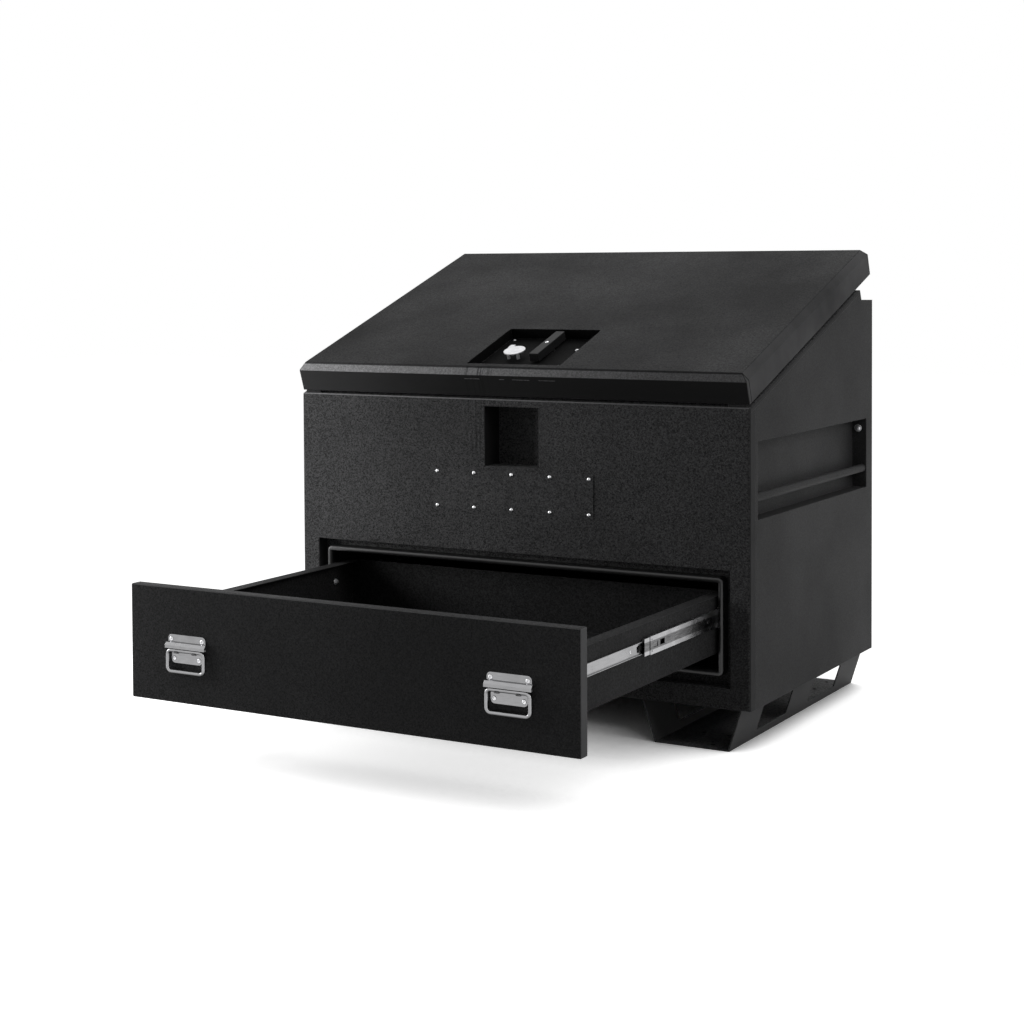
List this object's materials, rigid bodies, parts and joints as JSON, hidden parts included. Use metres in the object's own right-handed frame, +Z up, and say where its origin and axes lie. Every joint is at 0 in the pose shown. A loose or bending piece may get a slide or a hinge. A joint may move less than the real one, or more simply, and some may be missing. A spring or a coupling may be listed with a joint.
{
  "type": "jobsite box",
  "caption": "Steel site chest with a sloping hinged lid, a full-width drawer on slides, side grab pockets and fork skids.",
  "frame": {"origin": "on the ground at the centre of the four outermost hold-down holes in the skids", "axes": "+X to the right seen from the front, +Y to the back, +Z up; the drawer opens towards -Y"},
  "size_m": [1.2, 1.5097, 1.1115],
  "materials": {
    "black_coat": "fine-textured black powder coat",
    "lever_coat": "satin black powder coat",
    "bright_zinc": "bright zinc plate",
    "bolt_steel": "plated steel",
    "polished_chrome": "bright chrome",
    "strut_enamel": "gloss black enamel",
    "seal_rubber": "matt",
    "cage_plastic": "matt"
  },
  "bodies": {
    "chest": {"skid_left": "black_coat", "skid_right": "black_coat", "floor_panel": "black_coat", "rear_ledge": "black_coat", "back_panel": "black_coat", "front_panel": "black_coat", "name_plate": "black_coat", "name_plate_screws": "bolt_steel", "front_pocket": "black_coat", "drawer_recess": "black_coat", "chest_deck": "black_coat", "side_panel_left": "black_coat", "side_panel_right": "black_coat", "side_pocket_left": "black_coat", "side_pocket_right": "black_coat", "side_bar_left": "black_coat", "side_bar_right": "black_coat", "pocket_bolts": "bolt_steel", "rim_frame": "black_coat", "corner_gussets": "black_coat", "lid_seal": "seal_rubber", "drawer_seal": "seal_rubber", "slide_outer_left": "bright_zinc", "slide_outer_right": "bright_zinc", "slide_outer_screws": "bolt_steel", "drawer_bay": "black_coat", "lock_keepers": "black_coat", "hinge_leaves_body": "black_coat", "hinge_pins": "bolt_steel", "strut_brackets_body": "black_coat"},
    "lid": {"lid_shell": "black_coat", "recess_bolts": "bolt_steel", "lid_recess_pan": "black_coat", "lid_liner": "black_coat", "rod_guides": "black_coat", "padlock_guard": "polished_chrome", "hinge_leaves_lid": "black_coat", "strut_brackets_lid": "black_coat"},
    "swing_handle": {"swing_handle": "lever_coat", "handle_bolt": "bolt_steel", "lock_cam": "bright_zinc"},
    "drawer": {"drawer_front": "black_coat", "drawer_tray": "black_coat", "handle_plates": "polished_chrome", "handle_screws": "bolt_steel", "slide_inner_left": "bright_zinc", "slide_inner_right": "bright_zinc", "slide_inner_screws": "bolt_steel"},
    "lock_rod_left": {"lock_rod_left": "bright_zinc"},
    "strut_cylinder_left": {"strut_cylinder_left": "strut_enamel"},
    "strut_rod_left": {"strut_rod_left": "polished_chrome"},
    "slide_middle_left": {"slide_middle_left": "bright_zinc"},
    "slide_cage_left": {"slide_cage_left": "cage_plastic"},
    "handle_bail_left": {"handle_bail_left": "polished_chrome"},
    "lock_rod_right": {"lock_rod_right": "bright_zinc"},
    "strut_cylinder_right": {"strut_cylinder_right": "strut_enamel"},
    "strut_rod_right": {"strut_rod_right": "polished_chrome"},
    "slide_middle_right": {"slide_middle_right": "bright_zinc"},
    "slide_cage_right": {"slide_cage_right": "cage_plastic"},
    "handle_bail_right": {"handle_bail_right": "polished_chrome"}
  },
  "joints": [
    {"name": "lid_hinge", "type": "hinge", "parent": "chest", "child": "lid", "pos_m": [0, 0.36501, 1.03002], "axis": [-1, 0, 0], "range_deg": [0, 70]},
    {"name": "drawer_slide", "type": "slide", "parent": "chest", "child": "drawer", "axis": [0, -1, 0], "range_m": [-0.7, 0.06]},
    {"name": "swing_handle_turn", "type": "hinge", "parent": "lid", "child": "swing_handle", "pos_m": [0.018, -0.25178, 0.87329], "axis": [0, -0.3361, 0.9418], "range_deg": [0, 90]},
    {"name": "lock_rod_left_slide", "type": "slide", "parent": "lid", "child": "lock_rod_left", "axis": [-1, 0, 0], "range_m": [0, 0.02546]},
    {"name": "strut_cylinder_left_pivot", "type": "hinge", "parent": "chest", "child": "strut_cylinder_left", "pos_m": [-0.53, 0.28948, 0.61687], "axis": [-1, 0, 0], "range_deg": [0, 35]},
    {"name": "strut_rod_left_pivot", "type": "hinge", "parent": "lid", "child": "strut_rod_left", "pos_m": [-0.53, -0.03055, 0.88885], "axis": [-1, 0, 0], "range_deg": [-35, 0]},
    {"name": "slide_middle_left_run", "type": "slide", "parent": "chest", "child": "slide_middle_left", "axis": [0, -1, 0], "range_m": [-0.35, 0.03]},
    {"name": "slide_cage_left_run", "type": "slide", "parent": "slide_middle_left", "child": "slide_cage_left", "axis": [0, -1, 0], "range_m": [-0.175, 0.015]},
    {"name": "handle_bail_left_swing", "type": "hinge", "parent": "drawer", "child": "handle_bail_left", "pos_m": [-0.395, -1.1035, 0.2598], "axis": [-1, 0, 0], "range_deg": [0, 90]},
    {"name": "lock_rod_right_slide", "type": "slide", "parent": "lid", "child": "lock_rod_right", "axis": [1, 0, 0], "range_m": [0, 0.02546]},
    {"name": "strut_cylinder_right_pivot", "type": "hinge", "parent": "chest", "child": "strut_cylinder_right", "pos_m": [0.53, 0.28948, 0.61687], "axis": [-1, 0, 0], "range_deg": [0, 35]},
    {"name": "strut_rod_right_pivot", "type": "hinge", "parent": "lid", "child": "strut_rod_right", "pos_m": [0.53, -0.03055, 0.88885], "axis": [-1, 0, 0], "range_deg": [-35, 0]},
    {"name": "slide_middle_right_run", "type": "slide", "parent": "chest", "child": "slide_middle_right", "axis": [0, -1, 0], "range_m": [-0.35, 0.03]},
    {"name": "slide_cage_right_run", "type": "slide", "parent": "slide_middle_right", "child": "slide_cage_right", "axis": [0, -1, 0], "range_m": [-0.175, 0.015]},
    {"name": "handle_bail_right_swing", "type": "hinge", "parent": "drawer", "child": "handle_bail_right", "pos_m": [0.395, -1.1035, 0.2598], "axis": [-1, 0, 0], "range_deg": [0, 90]}
  ],
  "couplings": [
    {"joint": "lock_rod_left_slide", "follows": "swing_handle_turn", "m_per_rad": 0.016206},
    {"joint": "strut_cylinder_left_pivot", "follows": "lid_hinge", "ratio": 0.5},
    {"joint": "strut_rod_left_pivot", "follows": "lid_hinge", "ratio": -0.5},
    {"joint": "slide_middle_left_run", "follows": "drawer_slide", "ratio": 0.5},
    {"joint": "slide_cage_left_run", "follows": "drawer_slide", "ratio": 0.25},
    {"joint": "lock_rod_right_slide", "follows": "swing_handle_turn", "m_per_rad": 0.016206},
    {"joint": "strut_cylinder_right_pivot", "follows": "lid_hinge", "ratio": 0.5},
    {"joint": "strut_rod_right_pivot", "follows": "lid_hinge", "ratio": -0.5},
    {"joint": "slide_middle_right_run", "follows": "drawer_slide", "ratio": 0.5},
    {"joint": "slide_cage_right_run", "follows": "drawer_slide", "ratio": 0.25}
  ]
}
